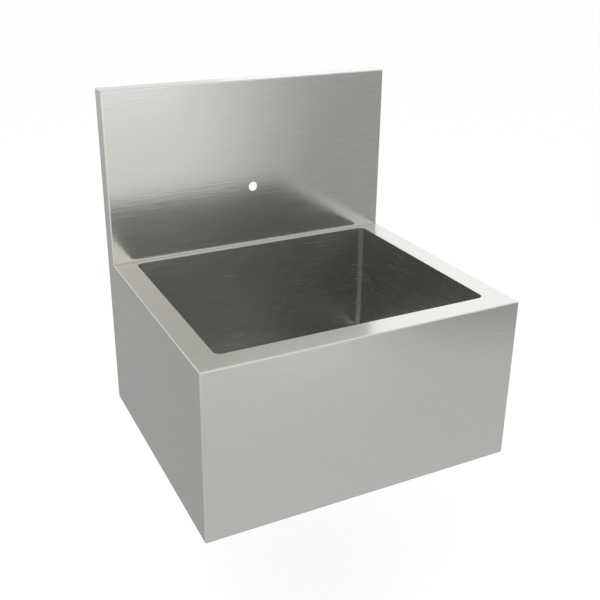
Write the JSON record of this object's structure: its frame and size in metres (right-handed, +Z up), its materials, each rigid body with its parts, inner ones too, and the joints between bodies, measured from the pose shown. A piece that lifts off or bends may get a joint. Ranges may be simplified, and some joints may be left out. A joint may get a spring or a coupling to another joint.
{
  "type": "surgical scrub sink",
  "caption": "Wall-hung stainless scrub sink: deep coved bowl in a boxed apron, tall folded splashback with one tap hole, open underside, and a waste with lift-out strainer.",
  "frame": {"origin": "on the wall plane, at the centre of the four wall fixing holes", "axes": "+Z up, +Y into the wall, +X to the right as the user faces the sink"},
  "size_m": [0.7, 0.6, 0.85],
  "materials": {
    "satin_steel": "satin, brushed along each sheet",
    "bowl_steel": "satin, brushed inside the bowl",
    "mill_steel": "dull mill finish",
    "bracket_steel": "galvanised, finely spangled",
    "zinc_steel": "bright zinc plate",
    "sound_pad": "matt, slightly rough",
    "brass": "plain turned",
    "waste_steel": "polished",
    "seal_rubber": "matt",
    "white_plastic": "moulded, matt",
    "chrome": "bright chrome plate"
  },
  "bodies": {
    "sink": {"apron_shell": "satin_steel", "splashback": "satin_steel", "bowl": "bowl_steel", "tap_hole_plate": "mill_steel", "splash_stiffener_left": "mill_steel", "splash_stiffener_right": "mill_steel", "hanger_channel": "mill_steel", "rear_crossbar": "mill_steel", "earth_tab": "mill_steel", "wall_bracket": "bracket_steel", "hanger_screws": "zinc_steel", "weld_nuts": "zinc_steel", "bowl_pad_front": "sound_pad", "bowl_pad_back": "sound_pad", "bowl_pad_left": "sound_pad", "bowl_pad_right": "sound_pad", "floor_pads": "sound_pad", "earth_bolt": "brass", "earth_nut": "brass", "earth_washers": "brass", "waste_body": "waste_steel", "flange_seal": "seal_rubber", "under_seal": "seal_rubber", "slip_ring": "white_plastic", "locknut": "white_plastic", "tail_washer": "white_plastic", "tailpiece": "chrome", "tail_nut": "chrome"},
    "strainer": {"strainer_basket": "waste_steel", "strainer_knob": "chrome", "strainer_nut": "chrome"}
  },
  "joints": [
    {"name": "strainer_lift", "type": "slide", "parent": "sink", "child": "strainer", "axis": [0, 0, 1], "range_m": [0, 0.35]}
  ]
}
